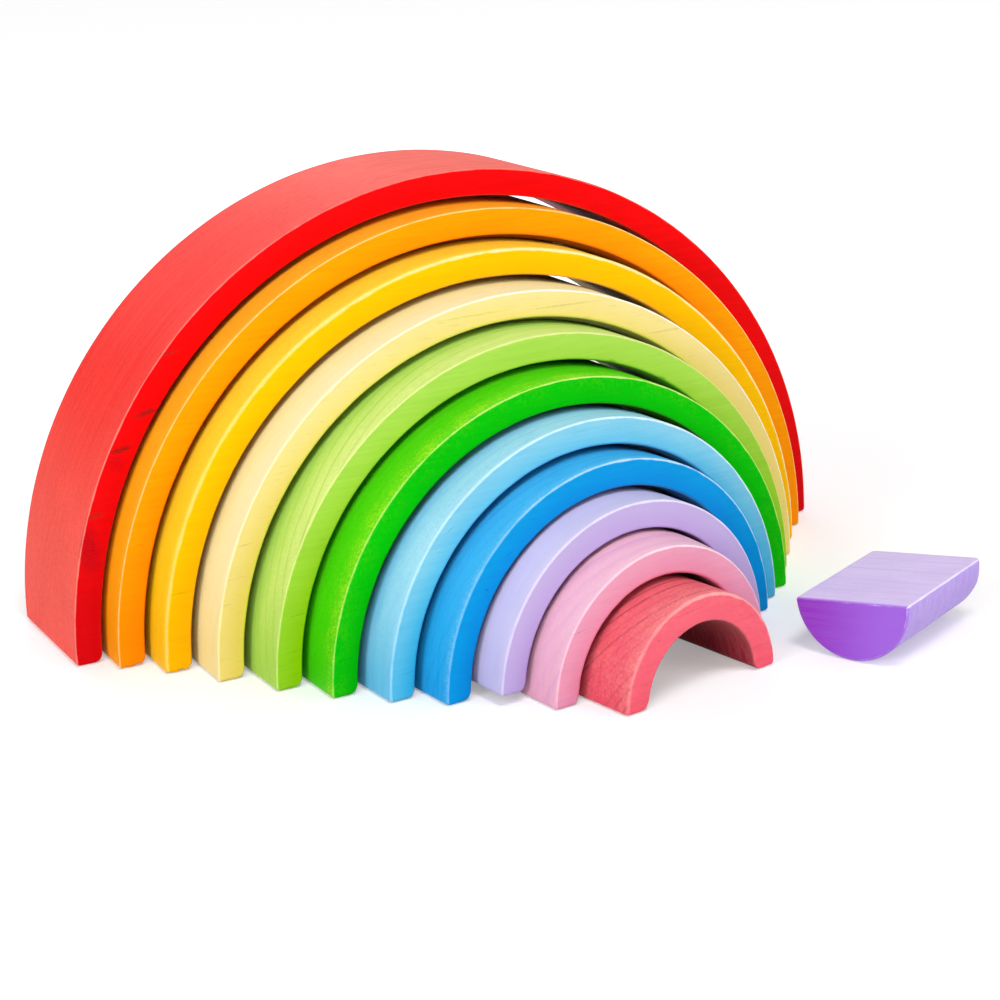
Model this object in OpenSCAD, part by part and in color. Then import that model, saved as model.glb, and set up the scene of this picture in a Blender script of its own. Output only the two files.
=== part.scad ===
// Wooden rainbow stacker: eleven half-ring arches sawn from one block of wood, and the half-round core.
// The set stands as it is played with. Each arch is drawn out in front of the next larger one and turned
// a little about that one's middle, and the core lies beside the row on its round side.
// Millimetres, +Z up, +Y to the rear. The origin is under the middle of the whole set, on the table.

/* [Arches] */
// Outer radius of the red arch, half the width of the set
set_radius = 185; // [165:1:220]
// Radius of the core's round side, in the middle of the nested set
core_radius = 25.5; // [20:0.5:30]
// Depth of every piece, from its front face to its rear face
depth = 70; // [50:1:85]
// Gap that the saw leaves between neighbouring arches
saw_gap = 3; // [2.4:0.1:4]
// Gap between the pink arch and the lavender one, which is cut tight
tight_gap = 1.5; // [1:0.1:2.4]

/* [Edges] */
// Radius of the sanded edges round the front and rear faces
edge_round = 1.8; // [0.5:0.1:3]
// Sanded length at a foot's outer bottom corner
foot_outer_round = 2; // [0.5:0.1:3]
// Sanded length at a foot's inner bottom corner
foot_inner_round = 4.5; // [0.5:0.1:5]
// Radius of a sanded foot corner as a ratio to its sanded length
corner_ratio = 1.25; // [1.1:0.05:1.5]

/* [Steps] */
// How far the orange arch stands out in front of the red one
orange_step = 14.5; // [0:0.5:30]
// How far the amber arch stands out in front of the orange one
amber_step = 16; // [0:0.5:30]
// How far the cream arch stands out in front of the amber one
cream_step = 19; // [0:0.5:30]
// How far the lime arch stands out in front of the cream one
lime_step = 19; // [0:0.5:30]
// How far the green arch stands out in front of the lime one
green_step = 19; // [0:0.5:30]
// How far the sky blue arch stands out in front of the green one
sky_step = 13; // [0:0.5:30]
// How far the blue arch stands out in front of the sky blue one
blue_step = 13.5; // [0:0.5:30]
// How far the lavender arch stands out in front of the blue one
lavender_step = 14.5; // [0:0.5:30]
// How far the pink arch stands out in front of the lavender one
pink_step = 15.5; // [0:0.5:30]
// How far the coral arch stands out in front of the pink one
coral_step = 21; // [0:0.5:30]

/* [Turns] */
// Turn of the orange arch against the red one, in degrees
orange_turn = -0.5; // [-2:0.5:2]
// Turn of the amber arch against the orange one, in degrees
amber_turn = 0; // [-2:0.5:2]
// Turn of the cream arch against the amber one, in degrees
cream_turn = 0.5; // [-2:0.5:2]
// Turn of the lime arch against the cream one, in degrees
lime_turn = 1.5; // [-2:0.5:2]
// Turn of the green arch against the lime one, in degrees
green_turn = 0.5; // [-2:0.5:2]
// Turn of the sky blue arch against the green one, in degrees
sky_turn = 2.5; // [-3:0.5:3]
// Turn of the blue arch against the sky blue one, in degrees
blue_turn = 2; // [-2.5:0.5:2.5]
// Turn of the lavender arch against the blue one, in degrees
lavender_turn = 0.5; // [-2:0.5:2]
// Turn of the pink arch against the lavender one, in degrees
pink_turn = 0.5; // [-0.5:0.5:0.5]
// Turn of the coral arch against the pink one, in degrees
coral_turn = 2.5; // [-3:0.5:3]

/* [Lavender arch] */
// Height of its left foot above the table, where it has caught on the pink arch
lavender_lift = 4.5; // [0:0.5:7]
// Clearance left where its right leg rubs on the pink arch
rub_clearance = 0.3; // [0.2:0.1:0.6]

/* [Violet core] */
// Clear distance from the pink arch's right front corner to the core's near side
core_gap = 13; // [5:1:40]
// How far the core's near end lies beyond the coral arch's right front corner, along the core
core_lead = 18.5; // [5:0.5:40]
// Turn of the core's length away from the depth of the red arch, in degrees
core_turn = 64.5; // [45:0.5:80]
// Rock of the core on its round side, in degrees
core_rock = 6; // [-30:1:30]

/* [Hidden] */
NODES = [
    "red_arch", "orange_arch", "amber_arch", "cream_arch", "lime_arch", "green_arch",
    "sky_arch", "blue_arch", "lavender_arch", "pink_arch", "coral_arch", "violet_core",
];
$fn = 96;

// Place of an arch in the row, from the largest to the smallest
function place_of(name) = search([name], NODES)[0];
LAVENDER = place_of("lavender_arch");
PINK = place_of("pink_arch");
CORAL = place_of("coral_arch");

steps = [
    0, orange_step, amber_step, cream_step, lime_step, green_step,
    sky_step, blue_step, lavender_step, pink_step, coral_step,
];
turns = [
    0, orange_turn, amber_turn, cream_turn, lime_turn, green_turn,
    sky_turn, blue_turn, lavender_turn, pink_turn, coral_turn,
];

// Slack by which cutting shapes pass the faces that they cut
cut_slack = 1;
// Half width of a corner's cutting square, as a ratio to the corner's sanded length
cutter_ratio = 1.2;

// Radii step down evenly from the red arch to the core, a wall and a saw gap at a time
pitch = (set_radius - core_radius) / place_of("violet_core");
arch_wall = pitch - saw_gap;
function even_radius(i) = set_radius - i * pitch;
// The lavender arch alone is measured from the pink one
function outer_radius(i) = i == LAVENDER ? even_radius(PINK) + tight_gap + arch_wall : even_radius(i);
function inner_radius(i) = outer_radius(i) - arch_wall;

// Heading of an arch and the point in the middle of its depth, on the table
function heading(i) = i == 0 ? 0 : heading(i - 1) + turns[i];
function forward(angle) = [sin(angle), -cos(angle)];
function rightward(angle) = [cos(angle), sin(angle)];
function middle(i) = i == 0 ? [0, depth / 2] : middle(i - 1) + steps[i] * forward(heading(i));
function right_front_corner(i) =
    middle(i) + depth / 2 * forward(heading(i)) + outer_radius(i) * rightward(heading(i));

// The lavender arch leans over its right foot, and is pushed left until its right leg rubs on the pink arch
lavender_foot_x = outer_radius(LAVENDER) - foot_outer_round;
lavender_lean = asin(lavender_lift / (lavender_foot_x + outer_radius(LAVENDER)));
lavender_shift = rub_clearance + depth / 2 * tan(abs(pink_turn)) - tight_gap;

// The core's near end is set from the corners of the two arches that it lies beside
core_heading = -core_turn;
core_across = rightward(core_heading);
core_along = -forward(core_heading);
core_end = (core_lead + right_front_corner(CORAL) * core_along) * core_along
    + (core_gap + core_radius + right_front_corner(PINK) * core_across) * core_across;
core_middle = core_end + depth / 2 * core_along;

// Front of the whole set, and the line halfway to its rear, which passes over the origin
core_front = core_middle.y - (depth / 2 - edge_round) * abs(core_along.y)
    - (core_radius - edge_round) * abs(core_across.y) - edge_round;
coral_front = middle(CORAL).y - depth / 2 * cos(heading(CORAL)) - outer_radius(CORAL) * abs(sin(heading(CORAL)));
centre_y = (depth + min(core_front, coral_front)) / 2;

// Square-cornered section of an arch with its sanded edges; a core section is square where it meets the axis
module section(inner, outer) {
    left = inner > 0 ? inner + edge_round : 0;
    right = outer - edge_round;
    translate([left, 0]) square([right - left, depth]);
    translate([inner, edge_round]) square([outer - inner, depth - 2 * edge_round]);
    for (x = inner > 0 ? [left, right] : [right], y = [edge_round, depth - edge_round])
        translate([x, y]) circle(edge_round, $fn = 32);
}

// What is sanded off a corner: an arc through the two points where the sanding runs out
module sanded_corner(corner, from, to, round) {
    chord = to - from;
    half = norm(chord) / 2;
    radius = corner_ratio * round;
    inward = (from + to) / 2 - corner;
    across = [-chord.y, chord.x] / norm(chord);
    offset = sqrt(radius * radius - half * half) * sign(across * inward);
    centre = (from + to) / 2 + offset * across;
    difference() {
        translate(corner) square(2 * cutter_ratio * round, center = true);
        translate(centre) circle(radius);
    }
}

// Point of a curve round the arch's centre at a height above the table
function on_curve(radius, height) = [sqrt(radius * radius - height * height), height];

// Corner between the table and an outer curve
module outer_corner(outer) {
    start = [outer - foot_outer_round, 0];
    sanded_corner([outer, 0], start, on_curve(outer, foot_outer_round), foot_outer_round);
}

// Corner between the table and an inner curve
module inner_corner(inner) {
    start = [inner + foot_inner_round, 0];
    sanded_corner([inner, 0], start, on_curve(inner, foot_inner_round), foot_inner_round);
}

// A front outline carried through the whole depth
module through_depth() {
    translate([0, depth + cut_slack, 0]) rotate([90, 0, 0]) linear_extrude(depth + 2 * cut_slack) children();
}

// Bottom edge of the front face, sanded across the whole width
module front_edge(outer) {
    translate([-outer - cut_slack, 0, 0]) rotate([90, 0, 90]) linear_extrude(2 * (outer + cut_slack))
        sanded_corner([0, 0], [edge_round, 0], [0, edge_round], edge_round);
}

// Half ring on its feet, or half disc on its flat, with the front face on y = 0
module half_round(inner, outer) {
    difference() {
        rotate([90, 0, 0]) translate([0, 0, -depth]) rotate_extrude(angle = 180) section(inner, outer);
        for (side = [0, 1]) mirror([side, 0, 0]) {
            through_depth() outer_corner(outer);
            if (inner > 0) through_depth() inner_corner(inner);
        }
        front_edge(outer);
        translate([0, depth, 0]) mirror([0, 1, 0]) front_edge(outer);
    }
}

// One arch of the row, turned and drawn out to its stand
module arch(i) {
    place = middle(i);
    translate([place.x, place.y - centre_y, 0]) rotate(heading(i)) translate([0, -depth / 2, 0]) children();
}

module plain_arch(name) {
    i = place_of(name);
    arch(i) half_round(inner_radius(i), outer_radius(i));
}

module red_arch() {
    color("#f2101c") plain_arch("red_arch");
}

module orange_arch() {
    color("#ff9a0a") plain_arch("orange_arch");
}

module amber_arch() {
    color("#ffc80a") plain_arch("amber_arch");
}

module cream_arch() {
    color("#f5e38c") plain_arch("cream_arch");
}

module lime_arch() {
    color("#aade45") plain_arch("lime_arch");
}

module green_arch() {
    color("#14b816") plain_arch("green_arch");
}

module sky_arch() {
    color("#74cbec") plain_arch("sky_arch");
}

module blue_arch() {
    color("#0f90e4") plain_arch("blue_arch");
}

module lavender_arch() {
    color("#c2aae2") arch(LAVENDER)
        translate([lavender_shift + lavender_foot_x, 0, 0]) rotate([0, lavender_lean, 0])
            translate([-lavender_foot_x, 0, 0]) half_round(inner_radius(LAVENDER), outer_radius(LAVENDER));
}

module pink_arch() {
    color("#f096b4") plain_arch("pink_arch");
}

module coral_arch() {
    color("#fa5868") plain_arch("coral_arch");
}

module violet_core() {
    color("#a05ed6") translate([core_end.x, core_end.y - centre_y, core_radius]) rotate(core_heading)
        rotate([0, 180 - core_rock, 0]) half_round(0, core_radius);
}

red_arch();
orange_arch();
amber_arch();
cream_arch();
lime_arch();
green_arch();
sky_arch();
blue_arch();
lavender_arch();
pink_arch();
coral_arch();
violet_core();
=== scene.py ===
"""Wooden rainbow stacker: the looks of its eleven stained arches and of its half-round core.

Shapes are worked out in millimetres in each piece's own block: x across the arch, y from front to rear with
the front face at minus half the depth, z up from the feet. A stand carries the block to its place in the row.
"""
import math

import bpy
import numpy as np
from mathutils import Matrix, Vector


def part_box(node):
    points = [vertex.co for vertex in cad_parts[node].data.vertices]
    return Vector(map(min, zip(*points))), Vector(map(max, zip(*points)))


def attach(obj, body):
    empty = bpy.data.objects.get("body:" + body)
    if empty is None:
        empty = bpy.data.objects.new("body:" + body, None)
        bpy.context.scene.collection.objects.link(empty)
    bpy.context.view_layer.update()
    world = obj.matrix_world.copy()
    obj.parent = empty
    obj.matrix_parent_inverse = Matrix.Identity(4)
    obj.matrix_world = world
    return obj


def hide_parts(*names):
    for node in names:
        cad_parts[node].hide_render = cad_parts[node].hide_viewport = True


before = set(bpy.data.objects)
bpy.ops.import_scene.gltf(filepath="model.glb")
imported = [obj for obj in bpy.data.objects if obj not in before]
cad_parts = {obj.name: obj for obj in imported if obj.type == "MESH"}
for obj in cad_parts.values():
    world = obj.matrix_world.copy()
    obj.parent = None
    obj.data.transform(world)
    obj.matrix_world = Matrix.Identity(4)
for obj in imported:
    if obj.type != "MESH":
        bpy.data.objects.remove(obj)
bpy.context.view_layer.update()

MM = 0.001
HALF_TURN = math.pi

# Sizes of the set, in millimetres
SET_RADIUS = 185.0
CORE_RADIUS = 25.5
DEPTH = 70.0
SAW_GAP = 3.0
TIGHT_GAP = 1.5
FOOT_OUTER_ROUND = 2.0
FOOT_INNER_ROUND = 4.5
EDGE_ROUND = 1.8
PITCH = (SET_RADIUS - CORE_RADIUS) / 11
WALL = PITCH - SAW_GAP
FRONT = -DEPTH / 2

# How the wood was finished, in millimetres; a waver is a part of an edge radius
POINT_SPACING = 1.6
SIDE_WANDER = 0.06
EDGE_WAVER = 0.16
BELLY_START = 3
BELLY_RUN = 6
CHIP_BEHIND_FRONT = 2.2
CHIP_ABOVE_FOOT = 1.6
CORE_SHORTER = 1.4
CORE_BEVEL = 1.2
CORE_END_ROUND = 1.0
CORE_PLAN_ROUND = 3.0
RELIEF = 0.04

# How the lavender arch leans and where the core lies
LAVENDER_LIFT = 4.5
RUB_CLEARANCE = 0.3
CORE_GAP = 13.0
CORE_LEAD = 18.5
CORE_TURN = 64.5
CORE_ROCK = 6.0

# Each arch from the largest to the smallest: its step forward and its turn against the one before it
ROW = [
    ("red", 0.0, 0.0),
    ("orange", 14.5, -0.5),
    ("amber", 16.0, 0.0),
    ("cream", 19.0, 0.5),
    ("lime", 19.0, 1.5),
    ("green", 19.0, 0.5),
    ("sky", 13.0, 2.5),
    ("blue", 13.5, 2.0),
    ("lavender", 14.5, 0.5),
    ("pink", 15.5, 0.5),
    ("coral", 21.0, 2.5),
]
NAMES = [name for name, step, turn in ROW]


# Where each piece stands

def outer_radius(name):
    """Radii step down evenly; the lavender arch alone is measured from the pink one."""
    if name == "lavender":
        return outer_radius("pink") + TIGHT_GAP + WALL
    return SET_RADIUS - NAMES.index(name) * PITCH


def forward(heading):
    return Vector((math.sin(heading), -math.cos(heading), 0))


def rightward(heading):
    return Vector((math.cos(heading), math.sin(heading), 0))


def row_stands():
    """Heading and middle of every arch: each steps forward along its own heading from the last middle."""
    low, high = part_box("red_arch")
    middle = Vector((0, (low[1] + high[1]) / 2 / MM, 0))
    heading = 0.0
    found = {}
    for name, step, turn in ROW:
        heading += math.radians(turn)
        middle = middle + step * forward(heading)
        found[name] = (heading, middle.copy())
    return found


STANDS = row_stands()


def right_front_corner(name):
    heading, middle = STANDS[name]
    return middle + DEPTH / 2 * forward(heading) + outer_radius(name) * rightward(heading)


def arch_stand(name):
    """Turns an arch about the vertical and moves it to its middle.

    The lavender arch first leans over its right foot.
    """
    heading, middle = STANDS[name]
    stand = Matrix.Translation(middle) @ Matrix.Rotation(heading, 4, "Z")
    if name == "lavender":
        foot = outer_radius(name) - FOOT_OUTER_ROUND
        lean = math.asin(LAVENDER_LIFT / (foot + outer_radius(name)))
        pink_turn = math.radians(ROW[NAMES.index("pink")][2])
        shift = RUB_CLEARANCE + DEPTH / 2 * math.tan(abs(pink_turn)) - TIGHT_GAP
        stand = stand @ Matrix.Translation((shift + foot, 0, 0)) @ Matrix.Rotation(lean, 4, "Y")
        stand = stand @ Matrix.Translation((-foot, 0, 0))
    return stand


def core_stand():
    """The core lies on its round side: turned over, rocked, and set beside the last arches."""
    heading = -math.radians(CORE_TURN)
    across = rightward(heading)
    along = -forward(heading)
    end = (CORE_LEAD + right_front_corner("coral").dot(along)) * along
    end = end + (CORE_GAP + CORE_RADIUS + right_front_corner("pink").dot(across)) * across
    middle = end + DEPTH / 2 * along + Vector((0, 0, CORE_RADIUS))
    over = Matrix.Rotation(math.radians(180 - CORE_ROCK), 4, "Y")
    return Matrix.Translation(middle) @ Matrix.Rotation(heading, 4, "Z") @ over


# Shapes

def waver(turn, seed):
    """Slow uneven curve between -1 and 1: three sine waves of unlike lengths, shifted by a seed."""
    waves = [np.sin(5 * turn + seed), np.sin(13 * turn + 2.3 * seed), np.sin(37 * turn + 4.1 * seed)]
    return (waves[0] + waves[1] + waves[2]) / 3


def drawn_in(height, round_):
    """How far a rounded corner of radius r draws a side in at a height above the corner's start.

    It is r - sqrt(r^2 - (r - height)^2), and nothing above r.
    """
    rest = np.clip(round_ - height, 0, round_)
    return round_ - np.sqrt(round_ ** 2 - rest ** 2)


def eased(count):
    """Fractions strictly between 0 and 1, closer together near both ends, by half a cosine wave."""
    return 0.5 - 0.5 * np.cos(np.linspace(0, HALF_TURN, count + 2)[1:-1])


def turns_along(middle_radius):
    """Angles from the right foot to the left: close together where the feet are sanded, then evenly apart."""
    heights = np.unique(np.concatenate([
        FOOT_INNER_ROUND * (1 - np.cos(np.linspace(0, HALF_TURN / 2, 10))),
        EDGE_ROUND * (1 - np.cos(np.linspace(0, HALF_TURN / 2, 8))),
    ]))
    foot = np.arcsin(heights / middle_radius)
    count = int((HALF_TURN - 2 * foot[-1]) * middle_radius / POINT_SPACING)
    between = np.linspace(foot[-1], HALF_TURN - foot[-1], count + 2)[1:-1]
    return np.concatenate([foot, between, HALF_TURN - foot[::-1]])


def swelling(turn, radius, nicks):
    """Extra edge radius along the arch: a bell curve for each nick, given as degrees, length and depth."""
    extra = np.zeros_like(turn)
    for degrees, length, deep in nicks:
        extra += deep * np.exp(-((turn - math.radians(degrees)) * radius / length) ** 2)
    return extra


def arch_surface(name, edges, belly, nicks, chips, seed):
    """Half ring: an oblong section with rounded edges, carried along a half circle, with a fan at each foot.

    At a turn t the section spans the inner to the outer radius and the front to the rear face. Near the feet
    every bound is drawn in by its sanded corner. Each edge is a quarter circle whose radius wavers along the
    arch and swells at a nick. The saw cuts bulge a little inside the row: a side stands out by its belly
    times sin(t)^2, times 1 - (y / half depth)^4 outside, or a smooth rise from 3 to 9 mm behind each face
    inside.
    A chip lifts the left foot's front bottom edge by a bell curve across the wall.

    Readings kept for the stain: face is 1 on the front and rear, arris is the distance in mm from the nearest
    edge, inward goes from 0 outside to 1 inside, and inner is 1 on the inner side.
    """
    big = outer_radius(name)
    small = big - WALL
    turn = turns_along((big + small) / 2)
    rise = np.sin(turn)
    inner = small + drawn_in(small * rise, FOOT_INNER_ROUND)
    wander = SIDE_WANDER * (1 + waver(turn, seed)) * np.minimum(1, 3 * rise)
    outer = big - drawn_in(big * rise, FOOT_OUTER_ROUND) - wander
    in_y = drawn_in((big + small) / 2 * rise, EDGE_ROUND)
    front = FRONT + in_y
    rear = DEPTH / 2 - in_y
    front_outer = edges[0] * (1 + EDGE_WAVER * waver(turn, seed + 1))
    front_outer = front_outer + swelling(turn, big, nicks.get("outer", ()))
    front_inner = edges[1] * (1 + EDGE_WAVER * waver(turn, seed + 2))
    front_inner = front_inner + swelling(turn, small, nicks.get("inner", ()))
    rear_edge = np.full_like(turn, EDGE_ROUND)
    # Corners in the order that the loop passes them: bound, inward direction, radius, first and last facing
    corners = [
        (inner, front, (1, 1), front_inner, (0, -1), (-1, 0)),
        (inner, rear, (1, -1), rear_edge, (-1, 0), (0, 1)),
        (outer, rear, (-1, -1), rear_edge, (0, 1), (1, 0)),
        (outer, front, (-1, 1), front_outer, (1, 0), (0, -1)),
    ]
    edge_points = 8
    side_points = (20, 8, 26, 10)
    bend = np.linspace(0, HALF_TURN / 2, edge_points)
    arcs = []
    for radius, depth, inward, round_, first, last in corners:
        facing = np.cos(bend)[:, None] * np.array(first) + np.sin(bend)[:, None] * np.array(last)
        centre = np.stack([radius + inward[0] * round_, depth + inward[1] * round_], -1)
        arcs.append(centre[:, None] + round_[:, None, None] * facing)
    stretches = []
    faces = []
    for arc, following, count, is_face in zip(arcs, arcs[1:] + arcs[:1], side_points, (0, 1, 0, 1)):
        part = eased(count)[:, None]
        stretches += [arc, arc[:, -1:] * (1 - part) + following[:, :1] * part]
        onto = np.sin(bend) ** 2
        faces += [onto if is_face else 1 - onto, np.full(count, float(is_face))]
    loop = np.concatenate(stretches, 1)
    face = np.broadcast_to(np.concatenate(faces), loop.shape[:2])
    run = np.linalg.norm(np.diff(loop, axis=1, append=loop[:, :1]), axis=2)
    along = np.concatenate([np.zeros((len(turn), 1)), np.cumsum(run, 1)], 1)
    whole = along[:, -1:]
    starts = np.cumsum([0] + [edge_points + count for count in side_points[:-1]])
    middles = along[:, starts + edge_points // 2]
    apart = np.abs(along[:, :-1, None] - middles[:, None])
    arris = np.minimum(apart, whole[:, None] - apart).min(2)
    path = (big + small) / 2 * np.minimum(turn, HALF_TURN - turn)[:, None]
    arris = np.minimum(arris, path)
    radius, y = loop[..., 0], loop[..., 1]
    inward = (big - radius) / WALL
    deep = np.abs(y) / (DEPTH / 2)
    outside = belly[0] * (1 - deep ** 4) * np.clip(1 - 2 * inward, 0, 1)
    risen = np.clip((DEPTH / 2 - BELLY_START - np.abs(y)) / BELLY_RUN, 0, 1)
    inside = belly[1] * risen ** 2 * (3 - 2 * risen) * np.clip(2 * inward - 1, 0, 1)
    radius = radius + rise[:, None] ** 2 * (outside - inside)
    x = radius * np.cos(turn)[:, None]
    z = radius * np.sin(turn)[:, None]
    for across, width, high in chips:
        off = (radius - small - across * WALL) / width
        near = np.exp(-off ** 2 - ((y - FRONT) / CHIP_BEHIND_FRONT) ** 2)
        low = np.exp(-(z / CHIP_ABOVE_FOOT) ** 2) * (turn > HALF_TURN / 2)[:, None]
        z = z + high * near * low
    grid = np.stack([x, y, z], -1)
    poles = np.array([[(big + small) / 2, 0, 0], [-(big + small) / 2, 0, 0]])
    readings = {
        "face": (face, 0.0),
        "arris": (arris, WALL / 2),
        "inward": (inward, 0.5),
        "inner": (np.clip(inward * 1.5 - 0.25, 0, 1), 0.5),
    }
    return grid, poles, readings


def core_surface(bevel, end_round):
    """Half disc carried along its depth: flat below, round above, with a rounded bevel where the two meet.

    Every outline point is an anchor plus a radius along a normal. Towards each end the radius shrinks by a
    quarter circle, which rounds the end edges, and the end faces are the same outline drawn towards one
    point. The two rear corners of the flat are rounded in plan by drawing the depth in.
    Readings are kept as for an arch, except that inward goes from one bevel to the other, and inner is 1 on
    the flat.
    """
    bends, sweeps, flats = 8, 61, 24
    side = math.sqrt((CORE_RADIUS - bevel) ** 2 - bevel ** 2)
    tip = math.atan2(bevel, side)
    sweep = np.linspace(tip, HALF_TURN - tip, sweeps)
    bend_right = np.linspace(-HALF_TURN / 2, tip, bends + 1)[:-1]
    bend_left = np.linspace(HALF_TURN - tip, 1.5 * HALF_TURN, bends + 1)[1:]
    flat = -side + 2 * side * eased(flats)
    anchors = np.concatenate([
        np.tile([side, bevel], (bends, 1)), np.zeros((sweeps, 2)), np.tile([-side, bevel], (bends, 1)),
        np.stack([flat, np.full(flats, bevel)], -1),
    ])
    radii = np.full(len(anchors), bevel)
    radii[bends:bends + sweeps] = CORE_RADIUS
    angles = np.concatenate([bend_right, sweep, bend_left, np.full(flats, 1.5 * HALF_TURN)])
    normals = np.stack([np.cos(angles), np.sin(angles)], -1)
    length = DEPTH - CORE_SHORTER
    near = end_round * (1 - np.cos(np.linspace(0, HALF_TURN / 2, 7)))
    between = np.linspace(end_round, length - end_round, 40)[1:-1]
    deep = np.concatenate([near, between, length - near[::-1]])
    from_end = np.minimum(deep, length - deep)
    inset = drawn_in(from_end, end_round)
    skin = anchors + (radii - inset[:, None])[..., None] * normals
    body = np.stack([skin[..., 0], np.broadcast_to(deep[:, None], skin.shape[:2]), skin[..., 1]], -1)
    heart = np.array([0.0, 0.0, CORE_RADIUS * 0.42])
    shrink = np.array([0.25, 0.5, 0.7, 0.85, 0.93, 0.97])[:, None, None]
    first_end = heart + (body[0] - heart) * shrink * [1, 0, 1]
    last_end = heart + (body[-1] - heart) * shrink[::-1] * [1, 0, 1] + [0, length, 0]
    grid = np.concatenate([first_end, body, last_end]) - [0, length / 2, 0]
    plan = drawn_in(side + bevel - np.abs(grid[..., 0]), CORE_PLAN_ROUND) * (grid[..., 1] > 0)
    grid[..., 1] *= 1 - plan / (length / 2)
    poles = np.array([heart - [0, length / 2, 0], heart + [0, length / 2, 0]])
    reach = np.linalg.norm(body[0] - heart, axis=-1)
    on_end = 0.4 * end_round + reach * (1 - shrink[..., 0])
    ends = from_end[:, None] + 0.4 * end_round
    middle = skin[len(deep) // 2]
    around = np.cumsum(np.linalg.norm(np.diff(middle, axis=0, append=middle[:1]), axis=-1))
    right_bevel = around[bends // 2]
    left_bevel = around[bends + sweeps + bends // 2 - 1]
    from_bevel = np.minimum(np.abs(around - right_bevel), np.abs(around - left_bevel))
    arris = np.concatenate([on_end, np.minimum(ends, from_bevel), on_end[::-1]])
    facing = np.clip(1 - from_end / end_round, 0, 1)[:, None] * np.ones(len(radii))
    face = np.concatenate([np.ones_like(on_end), facing, np.ones_like(on_end)])
    inward = np.broadcast_to((grid[..., 0] / CORE_RADIUS + 1) / 2, face.shape)
    below = np.concatenate([np.ones(bends // 2), np.zeros(bends + sweeps), np.ones(bends // 2 + flats)])
    inner = np.broadcast_to(below, face.shape)
    readings = {"face": (face, 1.0), "arris": (arris, 10.0), "inward": (inward, 0.5), "inner": (inner, 0.5)}
    return grid, poles, readings


def close_skin(name, grid, poles, readings, stand):
    """Mesh of a closed grid: rows run along the piece and columns round it, and a fan closes each end."""
    rows, columns = grid.shape[:2]
    count = rows * columns
    points = np.concatenate([grid.reshape(-1, 3), poles])
    turned = np.array(stand)
    points = (points @ turned[:3, :3].T + turned[:3, 3]) * MM
    here = np.arange(count).reshape(rows, columns)
    there = np.roll(here, -1, axis=1)
    quads = np.stack([here[:-1], here[1:], there[1:], there[:-1]], -1).reshape(-1, 4)
    first = np.stack([here[0], there[0], np.full(columns, count)], -1)
    last = np.stack([there[-1], here[-1], np.full(columns, count + 1)], -1)
    corners = np.concatenate([quads.ravel(), first.ravel(), last.ravel()])
    starts = np.concatenate([np.arange(len(quads)) * 4, len(quads) * 4 + np.arange(2 * columns) * 3])
    mesh = bpy.data.meshes.new(name)
    mesh.vertices.add(len(points))
    mesh.vertices.foreach_set("co", points.ravel())
    mesh.loops.add(len(corners))
    mesh.loops.foreach_set("vertex_index", corners.astype(np.int32))
    mesh.polygons.add(len(starts))
    mesh.polygons.foreach_set("loop_start", starts.astype(np.int32))
    for reading, (values, at_poles) in readings.items():
        layer = mesh.attributes.new(reading, "FLOAT", "POINT")
        everywhere = np.append(values.ravel(), [at_poles, at_poles])
        layer.data.foreach_set("value", everywhere.astype(np.float32))
    mesh.update(calc_edges=True)
    mesh.shade_smooth()
    mesh.validate()
    piece = bpy.data.objects.new(name, mesh)
    bpy.context.scene.collection.objects.link(piece)
    return piece


# Wiring helpers

def stain(code):
    """Linear colour of a six-digit screen colour: ((v + 0.055) / 1.055) ^ 2.4 above 0.04, v / 12.92 below."""
    values = [int(code[i:i + 2], 16) / 255 for i in (1, 3, 5)]
    return tuple(v / 12.92 if v <= 0.04045 else ((v + 0.055) / 1.055) ** 2.4 for v in values) + (1.0,)


def wire(tree, kind, inputs, **settings):
    """Adds a node, sets it up, and fills each input with a value or a link."""
    made = tree.nodes.new(kind)
    for key, value in settings.items():
        setattr(made, key, value)
    for key, value in inputs.items():
        if isinstance(value, bpy.types.NodeSocket):
            tree.links.new(value, made.inputs[key])
        else:
            made.inputs[key].default_value = value
    return made


def reckon(tree, operation, *values):
    """Result of a sum worked out on values or links."""
    return wire(tree, "ShaderNodeMath", dict(enumerate(values)), operation=operation).outputs[0]


def times(tree, first, second):
    return reckon(tree, "MULTIPLY", first, second)


def ramp(tree, value, low, high, from_=0.0, to=1.0):
    """Smooth rise from one value to another while the input goes from low to high."""
    inputs = {0: value, 1: low, 2: high, 3: from_, 4: to}
    return wire(tree, "ShaderNodeMapRange", inputs, interpolation_type="SMOOTHSTEP").outputs[0]


def stretched(tree, block, along, over, up):
    """Block coordinates stretched by a factor on each axis."""
    inputs = {0: block, 1: (along, over, up)}
    return wire(tree, "ShaderNodeVectorMath", inputs, operation="MULTIPLY").outputs[0]


def noise(tree, vector, detail=2.0, rough=0.5, scale=1.0):
    inputs = {"Vector": vector, "Scale": scale, "Detail": detail, "Roughness": rough}
    return wire(tree, "ShaderNodeTexNoise", inputs).outputs["Fac"]


def tint(tree, amount, below, above):
    """Mixes one colour over another."""
    made = wire(tree, "ShaderNodeMix", {0: amount, 6: below, 7: above}, data_type="RGBA")
    return made.outputs[2]


def new_group(name, inputs, outputs):
    """Empty node group with named sockets; vectors are marked by a default of None."""
    group = bpy.data.node_groups.new(name, "ShaderNodeTree")
    for socket, value in inputs.items():
        kind = "NodeSocketVector" if value is None else "NodeSocketFloat"
        made = group.interface.new_socket(socket, in_out="INPUT", socket_type=kind)
        if value is not None:
            made.default_value = value
    for socket in outputs:
        group.interface.new_socket(socket, in_out="OUTPUT", socket_type="NodeSocketFloat")
    start = group.nodes.new("NodeGroupInput")
    end = group.nodes.new("NodeGroupOutput")
    return group, start.outputs, end.inputs


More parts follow.
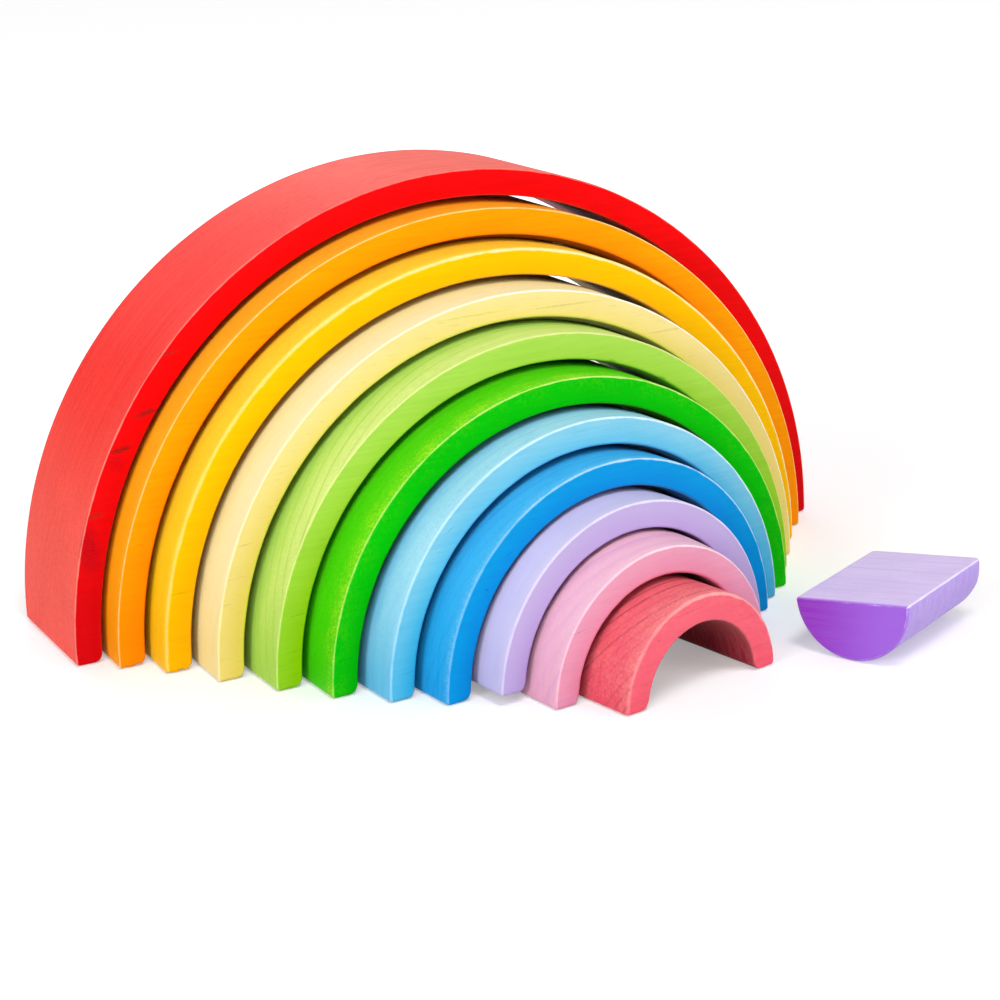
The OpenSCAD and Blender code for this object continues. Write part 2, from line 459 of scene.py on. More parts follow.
def use_group(tree, group, **inputs):
    made = tree.nodes.new("ShaderNodeGroup")
    made.node_tree = group
    for key, value in inputs.items():
        socket = made.inputs[key.replace("_", " ")]
        if isinstance(value, bpy.types.NodeSocket):
            tree.links.new(value, socket)
        else:
            socket.default_value = value
    return made.outputs


# Shared effects, all in block millimetres

def growth_rings():
    """Year rings cut as slanted planes: the fraction of (y - slope z) / spacing, bent by slow noise.

    Late wood darkens slowly and ends sharply, and every ring has its own strength.
    """
    inputs = {"Block": None, "Slope": 0.0, "Spacing": 5.0, "Bend": 0.5, "Seed": 0.0, "Start": 0.55}
    group, given, out = new_group("growth rings", inputs, ["Late wood"])
    split = wire(group, "ShaderNodeSeparateXYZ", {0: given["Block"]}).outputs
    plane = reckon(group, "SUBTRACT", split[1], times(group, split[2], given["Slope"]))
    slow = noise(group, stretched(group, given["Block"], 0.008, 0.026, 0.026), 1.5)
    bend = times(group, reckon(group, "SUBTRACT", slow, 0.5), given["Bend"])
    phase = reckon(group, "ADD", reckon(group, "DIVIDE", plane, given["Spacing"]), bend)
    phase = reckon(group, "ADD", phase, given["Seed"])
    part = reckon(group, "FRACT", phase)
    late = times(group, ramp(group, part, given["Start"], 0.93), ramp(group, part, 0.93, 1.0, 1.0, 0.0))
    number = {"W": reckon(group, "FLOOR", phase)}
    own = wire(group, "ShaderNodeTexWhiteNoise", number, noise_dimensions="1D").outputs[0]
    group.links.new(times(group, late, ramp(group, own, 0.0, 1.0, 0.25, 1.0)), out["Late wood"])
    return group


def wood_fibres():
    """Fibres lie along x: noise drawn out along x gives streaks, and its rare peaks give short pores."""
    group, given, out = new_group("wood fibres", {"Block": None}, ["Streak", "Pore"])
    fine = noise(group, stretched(group, given["Block"], 0.03, 0.9, 0.9), 3.0, 0.6)
    group.links.new(ramp(group, fine, 0.32, 0.68), out["Streak"])
    short = noise(group, stretched(group, given["Block"], 0.16, 1.9, 1.9), 1.0)
    group.links.new(ramp(group, short, 0.66, 0.76), out["Pore"])
    return group


def brushed_stain():
    """Stain wiped along the arch: noise drawn out along the angle about y, and a slow mottle."""
    group, given, out = new_group("brushed stain", {"Block": None}, ["Brush", "Mottle"])
    split = wire(group, "ShaderNodeSeparateXYZ", {0: given["Block"]}).outputs
    angle = reckon(group, "ARCTAN2", split[2], split[0])
    radius = reckon(group, "SQRT", reckon(group, "ADD", times(group, split[0], split[0]),
                                          times(group, split[2], split[2])))
    polar = wire(group, "ShaderNodeCombineXYZ", {0: times(group, angle, 3.2), 1: radius, 2: split[1]})
    wiped = noise(group, stretched(group, polar.outputs[0], 1.0, 0.75, 0.75), 3.0, 0.6)
    group.links.new(ramp(group, wiped, 0.3, 0.7), out["Brush"])
    group.links.new(ramp(group, noise(group, given["Block"], 3.0, 0.6, 0.03), 0.3, 0.7), out["Mottle"])
    return group


def scuffed_and_lit_edge():
    """Pale line along the edges, partly stain scuffed off and partly a painted highlight: full at the edge
    line, fading over a width that noise makes uneven.
    """
    unevenness = 0.45
    inputs = {"Block": None, "Arris": 0.0, "Width": 1.0}
    group, given, out = new_group("scuffed and lit edge", inputs, ["Rubbed"])
    uneven = noise(group, given["Block"], 3.0, 0.55, 0.16)
    shift = times(group, reckon(group, "SUBTRACT", uneven, 0.5), unevenness)
    shift = times(group, shift, times(group, given["Width"], 4.0))
    away = reckon(group, "DIVIDE", reckon(group, "ADD", given["Arris"], shift), given["Width"])
    group.links.new(ramp(group, away, 0.35, 1.0, 1.0, 0.0), out["Rubbed"])
    return group


def stain_specks():
    """Small pale dots where the wood took less stain: peaks of fine noise, gathered in patches."""
    group, given, out = new_group("stain specks", {"Block": None}, ["Speck"])
    fine = noise(group, given["Block"], 3.0, 0.65, 0.9)
    patch = noise(group, given["Block"], 2.0, 0.5, 0.12)
    both = reckon(group, "ADD", fine, times(group, reckon(group, "SUBTRACT", patch, 0.5), 0.5))
    group.links.new(ramp(group, both, 0.44, 0.68), out["Speck"])
    return group


def grain_mark():
    """One mark on the front face: a soft tilted oval, broken into dashes by noise."""
    inputs = {"Block": None, "Over": 0.0, "Up": 0.0, "Half length": 6.0, "Half width": 1.0, "Tilt": 0.0}
    dash_depth = 0.7
    group, given, out = new_group("grain mark", inputs, ["Mark"])
    split = wire(group, "ShaderNodeSeparateXYZ", {0: given["Block"]}).outputs
    over = reckon(group, "SUBTRACT", split[0], given["Over"])
    up = reckon(group, "SUBTRACT", split[2], given["Up"])
    cosine = reckon(group, "COSINE", given["Tilt"])
    sine = reckon(group, "SINE", given["Tilt"])
    along = reckon(group, "ADD", times(group, over, cosine), times(group, up, sine))
    side = reckon(group, "SUBTRACT", times(group, up, cosine), times(group, over, sine))
    along = reckon(group, "DIVIDE", along, given["Half length"])
    side = reckon(group, "DIVIDE", side, given["Half width"])
    away = reckon(group, "SQRT", reckon(group, "ADD", times(group, along, along),
                                        times(group, side, side)))
    dashes = ramp(group, noise(group, stretched(group, given["Block"], 0.5, 2.4, 2.4), 2.0, 0.6), 0.38, 0.62)
    broken = reckon(group, "ADD", times(group, dashes, dash_depth), 1.0 - dash_depth)
    front = ramp(group, split[1], FRONT + 0.6, FRONT + 2.5, 1.0, 0.0)
    mark = times(group, ramp(group, away, 0.2, 1.0, 1.0, 0.0), broken)
    group.links.new(times(group, mark, front), out["Mark"])
    return group


EFFECTS = {
    "rings": growth_rings(),
    "fibres": wood_fibres(),
    "brush": brushed_stain(),
    "scuffed_and_lit": scuffed_and_lit_edge(),
    "specks": stain_specks(),
    "mark": grain_mark(),
}


# Each piece's stain and grain, with its painted light and shade

def piece_readings(tree, name, stand):
    """What the stain goes by: the place in the block, the skin's readings, and the shared wood effects."""
    back = stand.inverted()
    inputs = {
        "Vector": wire(tree, "ShaderNodeTexCoord", {}).outputs["Object"],
        "Location": back.to_translation(), "Rotation": back.to_euler(), "Scale": (1 / MM,) * 3,
    }
    block = wire(tree, "ShaderNodeMapping", inputs, vector_type="POINT").outputs[0]
    here = {"block": block}
    for reading in ("face", "arris", "inward", "inner"):
        here[reading] = wire(tree, "ShaderNodeAttribute", {}, attribute_name=reading).outputs["Fac"]
    here["side"] = reckon(tree, "SUBTRACT", 1.0, here["face"])
    here["outside"] = reckon(tree, "SUBTRACT", 1.0, here["inner"])
    here["x"], here["y"], here["z"] = wire(tree, "ShaderNodeSeparateXYZ", {0: block}).outputs
    radius = outer_radius(name) if name in NAMES else CORE_RADIUS
    here["over"] = reckon(tree, "DIVIDE", here["x"], radius)
    here["high"] = reckon(tree, "DIVIDE", here["z"], radius)
    here["fibres"] = use_group(tree, EFFECTS["fibres"], Block=block)
    here["brush"] = use_group(tree, EFFECTS["brush"], Block=block)
    return here


def by_face(tree, here, amounts):
    """One amount on the sides and another on the faces."""
    return ramp(tree, here["face"], 0.0, 1.0, *amounts)


def behind_front(tree, here, near, far, from_=0.0, to=1.0):
    """Goes from one value to another between two distances behind the front face."""
    return ramp(tree, here["y"], FRONT + near, FRONT + far, from_, to)


def ground_stain_and_painted_light(tree, here, look):
    """Face and side colours, with painted light and shade: inner sides darker as shade in the gaps and paler
    as light on the core's flat, paler upwards as light from above, paler just behind the front edge as a
    highlight, and deeper low down and well behind the front edge as shade.

    A painted reflection is a pale patch of the sides about one angle along the arch.
    """
    front = tint(tree, ramp(tree, here["inward"], 0.15, 0.95), stain(look["front"]), stain(look["heart"]))
    # The inner side (under) is painted darker as the shade in the gaps, and paler as painted light on the
    # core's upturned flat; the outer side is paler than the face partly as painted light.
    sides = tint(tree, here["inner"], stain(look["side"]), stain(look["under"]))
    colour = tint(tree, here["face"], sides, front)
    # Painted light from above: paler upwards.
    painted_light_up_mask = times(tree, ramp(tree, here["high"], 0.0, 1.0), by_face(tree, here, look["painted_light_upwards"]))
    colour = tint(tree, painted_light_up_mask, colour, stain(look["pale"]))
    # Painted highlight: paler on the outer sides just behind the front edge.
    amount, reach = look["painted_highlight_behind_front_edge"]
    near = times(tree, behind_front(tree, here, 0.0, reach, amount, 0.0), here["side"])
    colour = tint(tree, times(tree, near, here["outside"]), colour, stain(look["pale"]))
    # Painted reflections: pale patches of the sides about given angles along the arch.
    turn = reckon(tree, "DEGREES", reckon(tree, "ARCTAN2", here["z"], here["x"]))
    for middle, width, amount in look["painted_side_reflections"]:
        away = reckon(tree, "ABSOLUTE", reckon(tree, "SUBTRACT", turn, middle))
        painted_reflection_mask = times(tree, ramp(tree, away, 0.0, width, amount, 0.0), here["side"])
        colour = tint(tree, painted_reflection_mask, colour, stain(look["pale"]))
    # Painted shade: deeper low down, and on the outer sides well behind the front edge, towards the gaps.
    low = ramp(tree, here["high"], 0.0, 0.55, 1.0, 0.0)
    behind = times(tree, behind_front(tree, here, 5.0, 24.0), here["side"])
    painted_shade_mask = times(tree, reckon(tree, "MAXIMUM", low, behind), by_face(tree, here, look["painted_shade_low_and_behind"]))
    painted_shade_mask = times(tree, painted_shade_mask, reckon(tree, "MAXIMUM", here["face"], here["outside"]))
    return tint(tree, painted_shade_mask, colour, stain(look["deep"]))


def wood_grain(tree, here, look, colour):
    """Year rings, fibres, wiped and mottled stain, pores, and the single marks of a piece."""
    shade, on_sides, on_faces = look["ring"]
    weight = times(tree, here["rings"]["Late wood"], by_face(tree, here, (on_sides, on_faces)))
    colour = tint(tree, weight, colour, stain(shade))
    fibres, brush = here["fibres"], here["brush"]
    colour = tint(tree, times(tree, fibres["Streak"], look["fibre"]), colour, stain(look["deep"]))
    wiped = times(tree, times(tree, brush["Brush"], here["side"]), look["brush"])
    colour = tint(tree, wiped, colour, stain(look["pale"]))
    colour = tint(tree, times(tree, brush["Mottle"], look["mottle"]), colour, stain(look["deep"]))
    colour = tint(tree, times(tree, fibres["Pore"], look["pore"]), colour, stain(look["dark"]))
    for over, up, half_length, half_width, tilt, strength, shade in look["marks"]:
        mark = use_group(tree, EFFECTS["mark"], Block=here["block"], Over=over, Up=up,
                         Half_length=half_length, Half_width=half_width, Tilt=math.radians(tilt))["Mark"]
        colour = tint(tree, times(tree, mark, strength), colour, stain(shade))
    return colour


def handled_and_lit_edges(tree, here, look, colour):
    """Stain gathered along the inner rim, pale specks, and a pale edge line that is partly stain scuffed off
    and partly a painted highlight.
    """
    shade, width, strength = look["rim"]
    rim = ramp(tree, here["arris"], 0.0, width, strength, 0.0)
    rim = times(tree, times(tree, rim, ramp(tree, here["inward"], 0.6, 0.9)), here["face"])
    colour = tint(tree, rim, colour, stain(shade))
    shade, at_edge, reach, all_over = look["specks"]
    band = times(tree, behind_front(tree, here, 0.0, reach, at_edge, 0.0), here["side"])
    specks = use_group(tree, EFFECTS["specks"], Block=here["block"])["Speck"]
    specks = times(tree, specks, reckon(tree, "ADD", band, all_over))
    colour = tint(tree, times(tree, specks, here["outside"]), colour, stain(shade))
    # The pale edge line is partly stain scuffed off and partly a painted highlight, with its strength given
    # at the low and the high x.
    shade, width = look["scuff_and_highlight"]
    scuffed_and_lit = use_group(tree, EFFECTS["scuffed_and_lit"], Block=here["block"], Arris=here["arris"], Width=width)
    scuff_and_highlight = times(tree, ramp(tree, here["over"], -0.9, 0.4, *look["scuff_and_highlight_by_x"]),
                 ramp(tree, here["inward"], 0.3, 0.7, 1.0, look["inner_share_of_scuff_and_highlight"]))
    return tint(tree, times(tree, scuffed_and_lit["Rubbed"], scuff_and_highlight), colour, stain(shade))


def satin_oil(tree, here, look, surface):
    """Dull gloss of oiled wood: a thin coat on the outer sides, and a fine relief of fibres and pores."""
    streak, brush = here["fibres"]["Streak"], here["brush"]["Brush"]
    rough = reckon(tree, "ADD", times(tree, streak, 0.1), look["rough"])
    rough = reckon(tree, "ADD", rough, times(tree, brush, 0.06))
    tree.links.new(rough, surface.inputs["Roughness"])
    coated = reckon(tree, "SUBTRACT", 1.0, times(tree, here["inner"], look["dull_inner"]))
    coated = times(tree, coated, by_face(tree, here, (look["coat"], 0.0)))
    tree.links.new(coated, surface.inputs["Coat Weight"])
    height = reckon(tree, "ADD", times(tree, streak, 0.5), times(tree, brush, 0.3))
    height = reckon(tree, "SUBTRACT", height, here["fibres"]["Pore"])
    height = reckon(tree, "SUBTRACT", height, times(tree, here["rings"]["Late wood"], 0.4))
    relief = {"Strength": 0.5, "Distance": RELIEF * MM, "Height": height}
    tree.links.new(wire(tree, "ShaderNodeBump", relief).outputs[0], surface.inputs["Normal"])
    surface.inputs["Specular IOR Level"].default_value = 0.04
    surface.inputs["Coat Roughness"].default_value = 0.32
    surface.inputs["Coat IOR"].default_value = 1.45


def stained_wood_with_painted_light(name, stand, look):
    """Material of one piece: its stain with painted light and shade, then the grain, then the handled edges
    with their painted highlight, under satin oil.
    """
    material = bpy.data.materials.new(name + " stained wood with painted light")
    material.use_nodes = True
    tree = material.node_tree
    surface = tree.nodes["Principled BSDF"]
    here = piece_readings(tree, name, stand)
    slope, spacing, bend, seed, start = look["rings"]
    here["rings"] = use_group(tree, EFFECTS["rings"], Block=here["block"], Slope=slope, Spacing=spacing,
                              Bend=bend, Seed=seed, Start=start)
    colour = ground_stain_and_painted_light(tree, here, look)
    colour = wood_grain(tree, here, look, colour)
    colour = handled_and_lit_edges(tree, here, look, colour)
    tree.links.new(colour, surface.inputs["Base Color"])
    satin_oil(tree, here, look, surface)
    return material


# What a look says. front and heart: the face outside and inside; side and under: the outer and inner side.
# The side is paler than the face partly in its own tone and partly as painted light. under is the inner
# side's stain painted much darker as the shade in the gaps, and on the core, whose inner side is its upturned
# flat, painted pale as light falling on it. pale and deep: what lightens and darkens them, in the stain and
# as painted light and shade; dark: the pores.
# rings: slope, spacing in mm, bend, seed, start of late wood. ring: its colour, amount on sides and on faces.
# lift and sink: amount of pale upwards, as painted light from above, and of deep low down and well behind
# the front edge, as painted shade; on sides and on faces.
# sheen: amount, reach in mm behind the front edge, of a painted highlight on the outer sides.
# haze: middle and half width in degrees, amount, of a painted reflection on the sides.
# worn: colour, width in mm. wear: amount at the low and the high x. inner_share_of_scuff_and_highlight: part
# of it on inner edges.
# Together they give a pale edge line, partly stain scuffed off and partly a painted highlight.
# rim: colour, width in mm, strength. specks: colour, amount at the front edge, reach in mm, amount all over.
# edges: radius of the outer and inner front edge. belly: swelling of the outer and inner side.
# nicks: degrees, length, depth. chips: place across the wall as a part of it, width, height.
# marks: x, z, half length, half width, tilt in degrees, strength, colour.
PLAIN = dict(
    rings=(-0.2, 6.0, 0.6, 0.3, 0.55), fibre=0.16, pore=0.1, brush=0.1, mottle=0.12, painted_light_upwards=(0.25, 0.1),
    painted_shade_low_and_behind=(0.2, 0.25), painted_highlight_behind_front_edge=(0.2, 6.0), painted_side_reflections=(), scuff_and_highlight_by_x=(0.3, 0.7), inner_share_of_scuff_and_highlight=0.1, rim=("#ffffff", 1.0, 0.0),
    specks=("#ffffff", 0.0, 8.0, 0.0), rough=0.42, coat=0.04, dull_inner=1.0, edges=(0.8, 0.9),
    belly=(0.0, 0.0), nicks={}, chips=(), marks=(),
)
LOOKS = {
    # Red: the pale patches of its sides at 172 and 84 degrees are painted reflections, of the floor near the
    # left foot and of white at the top.
    "red": dict(
        PLAIN, front="#f60608", heart="#f20405", side="#fd1206", under="#7a0206", pale="#ff7a68",
        deep="#b00410", dark="#5a1410", ring=("#d0181c", 0.12, 0.08), fibre=0.17, brush=0.17, mottle=0.12,
        painted_light_upwards=(0.04, 0.0), painted_shade_low_and_behind=(0.0, 0.55), painted_highlight_behind_front_edge=(0.1, 16.0), painted_side_reflections=((172, 34, 0.5), (84, 40, 0.7)),
        scuff_and_highlight=("#ffb8ac", 0.45), scuff_and_highlight_by_x=(0.35, 0.3), coat=0.06, edges=(0.6, 0.7),
        marks=(
            (-156.8, 88.9, 6.5, 1.8, 8, 0.95, "#5e1c14"),
            (-144.8, 102.5, 7.5, 1.8, 12, 0.9, "#6a2018"),
            (-133.1, 125.6, 6.5, 1.0, 4, 0.8, "#8a2a20"),
            (-170.5, 63.3, 5.5, 1.4, 8, 0.75, "#7a2a1c"),
            (-174.5, 50.0, 6.5, 15.0, 0, 0.75, "#a00818"),
            (-160.0, 84.0, 6.0, 6.0, 0, 0.45, "#a00818"),
        ),
    ),
    "orange": dict(
        PLAIN, front="#ffa600", heart="#ff9c00", side="#ffb400", under="#8a3400", pale="#ffc85a",
        deep="#f07600", dark="#9a4a00", ring=("#ee7a00", 0.15, 0.1), fibre=0.2, brush=0.1, painted_light_upwards=(0.2, 0.0),
        painted_shade_low_and_behind=(0.3, 0.5), scuff_and_highlight=("#ffecb0", 0.45), scuff_and_highlight_by_x=(0.28, 0.55), rim=("#ff6c00", 1.6, 0.5),
        edges=(0.6, 0.8), belly=(0.0, 2.7), chips=((0.3, 1.4, 1.0), (0.75, 1.0, 0.7)),
        marks=(
            (-156.7, 52.0, 5.0, 0.4, 4, 0.4, "#b85400"),
        ),
    ),
    "amber": dict(
        PLAIN, front="#ffc600", heart="#f8bc00", side="#ffd400", under="#8a5600", pale="#ffe67a",
        deep="#eca400", dark="#8a6000", ring=("#e8a400", 0.15, 0.1), fibre=0.2, painted_light_upwards=(0.2, 0.0),
        painted_shade_low_and_behind=(0.3, 0.4), scuff_and_highlight=("#fff0b8", 0.9), scuff_and_highlight_by_x=(0.22, 0.75), rim=("#ffac00", 1.4, 0.4),
        edges=(1.8, 1.0), chips=((0.4, 1.6, 1.0), (0.8, 1.0, 0.6)),
        marks=(
            (-148.0, 33.9, 5.0, 0.4, 3, 0.5, "#a87400"),
            (-145.2, 63.6, 4.5, 0.4, 5, 0.45, "#a87400"),
        ),
    ),
    "cream": dict(
        PLAIN, front="#f2d67c", heart="#f0d056", side="#fcecb8", under="#8a7430", pale="#fff6d4",
        deep="#eed468", dark="#ac9860", ring=("#e2c878", 0.2, 0.14), pore=0.22, painted_light_upwards=(0.3, 0.28),
        painted_shade_low_and_behind=(0.35, 0.25), scuff_and_highlight=("#fffdf6", 0.6), scuff_and_highlight_by_x=(0.16, 0.75), rim=("#e2e000", 2.0, 0.6),
        belly=(0.0, 2.7), nicks={"outer": ((136.5, 1.6, 0.8), (126.8, 1.6, 0.8))},
        marks=(
            (-125.6, 56.1, 5.0, 0.4, 4, 0.5, "#a89048"),
            (-20.4, 134.4, 27.0, 0.6, 1, 0.7, "#d8d040"),
            (24.3, 133.0, 24.0, 0.5, -1, 0.6, "#b4a868"),
            (76.1, 115.1, 20.0, 0.5, 0, 0.5, "#b4a868"),
        ),
    ),
    "lime": dict(
        PLAIN, front="#a2d42c", heart="#a2d000", side="#d8ec7c", under="#3e6a00", pale="#e4f6a0",
        deep="#74c000", dark="#5a7a10", rings=(0.27, 7.0, 0.9, 0.1, 0.72), ring=("#8cb428", 0.4, 0.15),
        painted_light_upwards=(0.3, 0.25), painted_shade_low_and_behind=(0.55, 0.25), scuff_and_highlight=("#f6e4ac", 0.5), scuff_and_highlight_by_x=(0.32, 0.55),
        rim=("#94d400", 1.6, 0.5), belly=(0.0, 1.5), nicks={"inner": ((72.7, 1.6, 0.9), (58.9, 1.6, 0.9))},
        marks=(
            (-115.6, 30.7, 5.0, 0.4, 3, 0.5, "#4a8a20"),
            (-116.7, 16.1, 5.0, 0.4, 4, 0.45, "#7a8a20"),
        ),
    ),
    "green": dict(
        PLAIN, front="#04c404", heart="#00bc02", side="#40d400", under="#004c02", pale="#90e830",
        deep="#04a008", dark="#046a08", ring=("#10a008", 0.25, 0.1), painted_light_upwards=(0.15, 0.0), painted_shade_low_and_behind=(0.25, 0.25),
        painted_highlight_behind_front_edge=(0.3, 12.0), scuff_and_highlight=("#e0f090", 0.5), scuff_and_highlight_by_x=(0.35, 0.7), specks=("#b8ec20", 0.6, 12.0, 0.05),
        belly=(0.0, 2.2),
        marks=(
            (-106.2, 15.7, 5.0, 0.4, 4, 0.5, "#066a10"),
        ),
    ),
    "sky": dict(
        PLAIN, front="#76cae0", heart="#48c0de", side="#a0dcfa", under="#0c4a68", pale="#d0f0fa",
        deep="#10a8e0", dark="#2a6a8a", rings=(-0.3, 6.0, 0.8, 0.6, 0.6), ring=("#64b8dc", 0.35, 0.12),
        painted_light_upwards=(0.3, 0.22), painted_shade_low_and_behind=(0.65, 0.5), scuff_and_highlight=("#f4fcff", 0.7), scuff_and_highlight_by_x=(0.18, 0.7),
        rim=("#10a4ee", 1.6, 0.5), edges=(1.0, 1.0), belly=(0.0, 1.6),
        marks=(
            (-67.2, 65.7, 4.0, 0.4, 30, 0.5, "#3a86a8"),
            (-88.5, 11.4, 5.0, 0.4, 6, 0.5, "#3a86a8"),
        ),
    ),
    "blue": dict(
        PLAIN, front="#029cde", heart="#0090dc", side="#18aee6", under="#002c5c", pale="#78ccf6",
        deep="#0a7ed0", dark="#0a3a70", rings=(-0.35, 5.5, 0.8, 0.2, 0.6), ring=("#0a78c8", 0.4, 0.14),
        painted_light_upwards=(0.25, 0.02), painted_shade_low_and_behind=(0.35, 0.25), scuff_and_highlight=("#d8f0ff", 0.6), scuff_and_highlight_by_x=(0.15, 0.7),
        specks=("#a8dcff", 0.3, 4.5, 0.0), edges=(1.0, 1.0), belly=(0.0, 1.6),
        marks=(
            (-51.3, 56.6, 4.0, 0.4, 30, 0.45, "#0a5ca0"),
            (-62.8, 44.0, 0.9, 0.7, 0, 0.7, "#0a4a88"),
        ),
    ),
    "lavender": dict(
        PLAIN, front="#c2b0e0", heart="#bca6de", side="#c8c4e6", under="#4a3c72", pale="#e6e0f8",
        deep="#b09cd8", dark="#6a5a90", ring=("#b4a0da", 0.1, 0.05), fibre=0.06, pore=0.04,
        painted_light_upwards=(0.25, 0.08), painted_shade_low_and_behind=(0.2, 0.25), scuff_and_highlight=("#faf6ff", 0.6), scuff_and_highlight_by_x=(0.2, 0.6),
        rim=("#9a5cc8", 1.2, 0.35), edges=(1.0, 0.7), belly=(0.0, 0.9),
    ),
    "pink": dict(
        PLAIN, front="#eca2bd", heart="#ea96b4", side="#e6aec6", under="#7a2c4c", pale="#fcdce8",
        deep="#e084a4", dark="#8a4a60", rings=(-0.5, 7.5, 0.8, 0.4, 0.3), ring=("#bc86c4", 0.5, 0.16),
        painted_light_upwards=(0.25, 0.08), painted_shade_low_and_behind=(0.2, 0.25), scuff_and_highlight=("#fff4f6", 0.6), scuff_and_highlight_by_x=(0.2, 0.65),
        rim=("#f03c68", 1.8, 0.5), edges=(0.8, 1.0), belly=(2.0, 0.0),
        marks=(
            (-42.1, 30.0, 6.0, 0.4, 6, 0.5, "#b05a84"),
        ),
    ),
    "coral": dict(
        PLAIN, front="#fa667a", heart="#fa687a", side="#e25068", under="#7a1426", pale="#ffa29c",
        deep="#e04456", dark="#7a2030", rings=(-0.8, 5.4, 0.8, 0.7, 0.62), ring=("#80203e", 0.62, 0.14),
        pore=0.2, painted_light_upwards=(0.22, 0.06), painted_shade_low_and_behind=(0.4, 0.25), painted_highlight_behind_front_edge=(0.3, 8.0), scuff_and_highlight=("#ffe0da", 0.9),
        scuff_and_highlight_by_x=(0.12, 0.4), specks=("#ffb09c", 0.14, 24.0, 0.12), edges=(1.4, 1.0),
        marks=(
            (-6.9, 34.9, 12.0, 0.5, 4, 0.5, "#b04468"),
        ),
    ),
    # The core's inner side is its upturned flat, painted pale as light falling on it.
    "violet": dict(
        PLAIN, front="#a264de", heart="#9230c0", side="#c2a4f2", under="#e2cefa", pale="#ece4fc",
        deep="#9a78d0", dark="#5a3a80", rings=(0.05, 14.0, 0.4, 0.3, 0.84), ring=("#9a70cc", 0.32, 0.12),
        brush=0.24, painted_light_upwards=(0.0, 0.0), painted_shade_low_and_behind=(0.0, 0.0), painted_highlight_behind_front_edge=(0.0, 6.0), scuff_and_highlight=("#f4eefe", 0.5),
        scuff_and_highlight_by_x=(0.9, 0.12), inner_share_of_scuff_and_highlight=0.8, dull_inner=0.0,
    ),
}


def make_pieces():
    """Every arch and the core: its surface, its wood, and the body that it goes with."""
    for number, name in enumerate(NAMES + ["violet"]):
        look = LOOKS[name]
        if name == "violet":
            stand = core_stand()
            node = "violet_core"
            surface = core_surface(CORE_BEVEL, CORE_END_ROUND)
        else:
            stand = arch_stand(name)
            node = name + "_arch"
            cuts = (look["edges"], look["belly"], look["nicks"], look["chips"])
            surface = arch_surface(name, *cuts, seed=1.7 * number)
        piece = close_skin(name + "_wood", *surface, stand)
        piece.data.materials.append(stained_wood_with_painted_light(name, stand, look))
        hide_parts(node)
        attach(piece, name)


# Table, light and camera

def seen_directly(tree):
    """1 for what the camera or a reflection sees, 0 for the light that falls on the wood."""
    seen = wire(tree, "ShaderNodeLightPath", {}).outputs
    reflected = reckon(tree, "MAXIMUM", seen["Is Glossy Ray"], seen["Is Transmission Ray"])
    return reckon(tree, "MAXIMUM", seen["Is Camera Ray"], reflected)


def white_table():
    """Flat white ground, a little brighter to the camera and to reflections, so that it ends in white."""
    half = 7
    top = -0.0002
    mesh = bpy.data.meshes.new("white_table")
    corners = [(-half, -half, top), (half, -half, top), (half, half, top), (-half, half, top)]
    mesh.from_pydata(corners, [], [(0, 1, 2, 3)])
    table = bpy.data.objects.new("white_table", mesh)
    bpy.context.scene.collection.objects.link(table)
    material = bpy.data.materials.new("white table")
    material.use_nodes = True
    tree = material.node_tree
    surface = tree.nodes["Principled BSDF"]
    surface.inputs["Base Color"].default_value = (0.8, 0.8, 0.81, 1)
    surface.inputs["Roughness"].default_value = 0.6
    surface.inputs["Specular IOR Level"].default_value = 0.2
    surface.inputs["Emission Color"].default_value = (1, 1, 1, 1)
    spot = wire(tree, "ShaderNodeTexCoord", {}).outputs["Object"]
    away = wire(tree, "ShaderNodeVectorMath", {0: spot}, operation="LENGTH").outputs["Value"]
    # Painted glow for the camera and reflections: weaker near the row, where the floor keeps its shadows, and
    # stronger far off, where the floor turns white.
    under_row, far_off = 0.3, 0.72
    glow = ramp(tree, away, 0.22, 0.8, under_row, far_off)
    tree.links.new(times(tree, seen_directly(tree), glow), surface.inputs["Emission Strength"])
    mesh.materials.append(material)


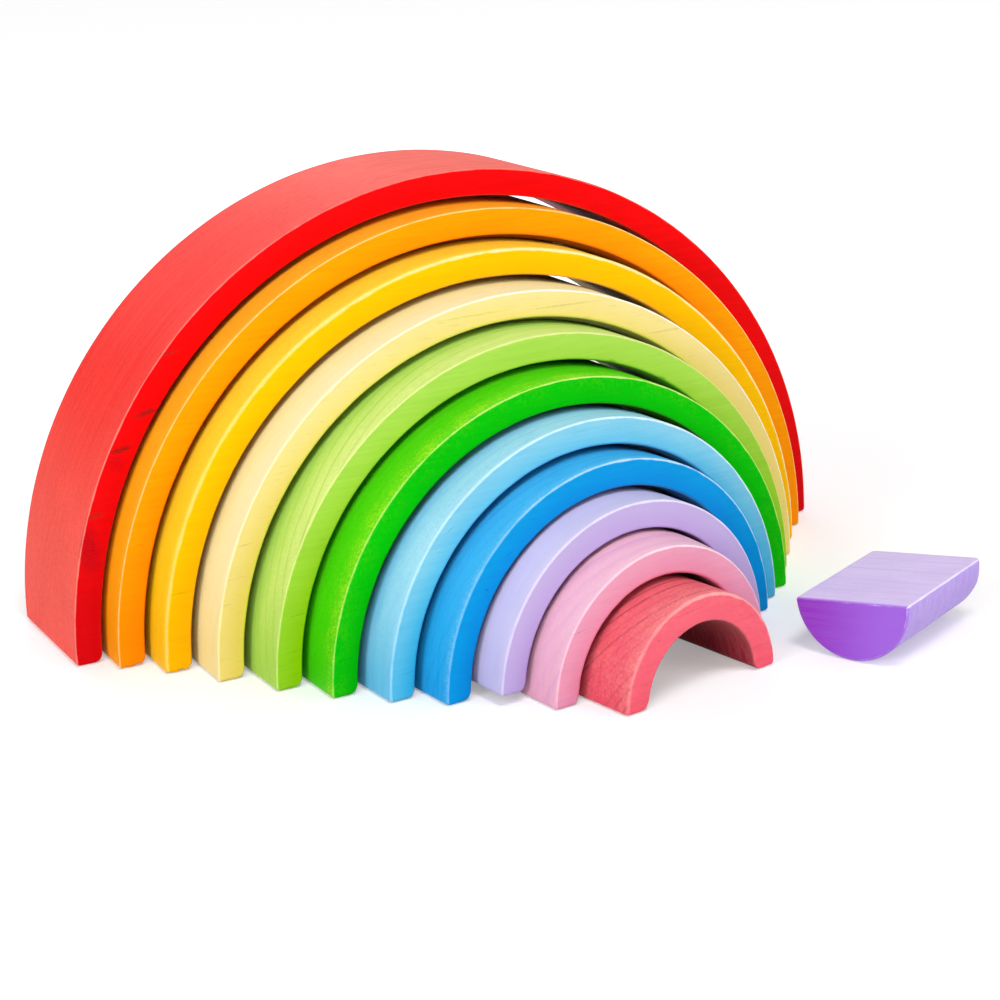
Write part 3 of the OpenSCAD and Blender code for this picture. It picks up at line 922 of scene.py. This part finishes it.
def white_room():
    """Even pale surroundings: weak light for the wood, full white to the camera and to reflections."""
    world = bpy.data.worlds.new("white room")
    bpy.context.scene.world = world
    world.use_nodes = True
    tree = world.node_tree
    on_wood, on_sight = 0.15, 1.0
    strength = ramp(tree, seen_directly(tree), 0.0, 1.0, on_wood, on_sight)
    background = tree.nodes["Background"]
    background.inputs["Color"].default_value = (1, 1, 1, 1)
    tree.links.new(strength, background.inputs["Strength"])


def soft_lamp(name, place, size, level):
    """Square soft lamp that faces the middle of the row; at level 1 it alone shows a colour there as written.

    The power for that is level times pi squared times the distance squared.
    """
    middle_of_row = Vector((0, 0, 0.08))
    facing = middle_of_row - Vector(place)
    data = bpy.data.lights.new(name, "AREA")
    data.size = size
    data.energy = level * math.pi ** 2 * facing.length_squared
    lamp = bpy.data.objects.new(name, data)
    lamp.location = place
    lamp.rotation_euler = facing.to_track_quat("-Z", "Y").to_euler()
    bpy.context.scene.collection.objects.link(lamp)


def view_from_front_left():
    """Camera low on the left of the front, turned by an azimuth, an elevation and a small roll."""
    place = Vector((-0.42282, -0.767678, 0.330993))
    azimuth, elevation, roll = (math.radians(degrees) for degrees in (-28.9322, 21.1369, -1.7947))
    outward = math.cos(elevation)
    back = Vector((math.sin(azimuth) * outward, -math.cos(azimuth) * outward, math.sin(elevation)))
    level = Vector((math.cos(azimuth), math.sin(azimuth), 0))
    upright = back.cross(level)
    right = math.cos(roll) * level + math.sin(roll) * upright
    up = math.cos(roll) * upright - math.sin(roll) * level
    data = bpy.data.cameras.new("front_left")
    data.sensor_width = 36
    data.lens = 78.473
    data.shift_x = -0.04207
    data.shift_y = 0.13972
    camera = bpy.data.objects.new("front_left", data)
    turned = Matrix((right, up, back)).transposed()
    camera.matrix_world = Matrix.Translation(place) @ turned.to_4x4()
    bpy.context.scene.collection.objects.link(camera)
    bpy.context.scene.camera = camera


view_from_front_left()
make_pieces()
white_table()
white_room()
soft_lamp("camera_softbox", (-1.15, -1.75, 1.55), 0.6, 0.12)
soft_lamp("top_softbox", (-0.2, -0.85, 1.75), 0.6, 0.45)
soft_lamp("left_window", (-1.6, -0.8, 0.65), 0.6, 0.43)
soft_lamp("right_fill", (1.3, -1.6, 0.9), 1.2, 0.32)
soft_lamp("back_panel", (0.0, 1.5, 1.1), 1.4, 0.3)
bpy.context.scene.view_settings.view_transform = "Standard"
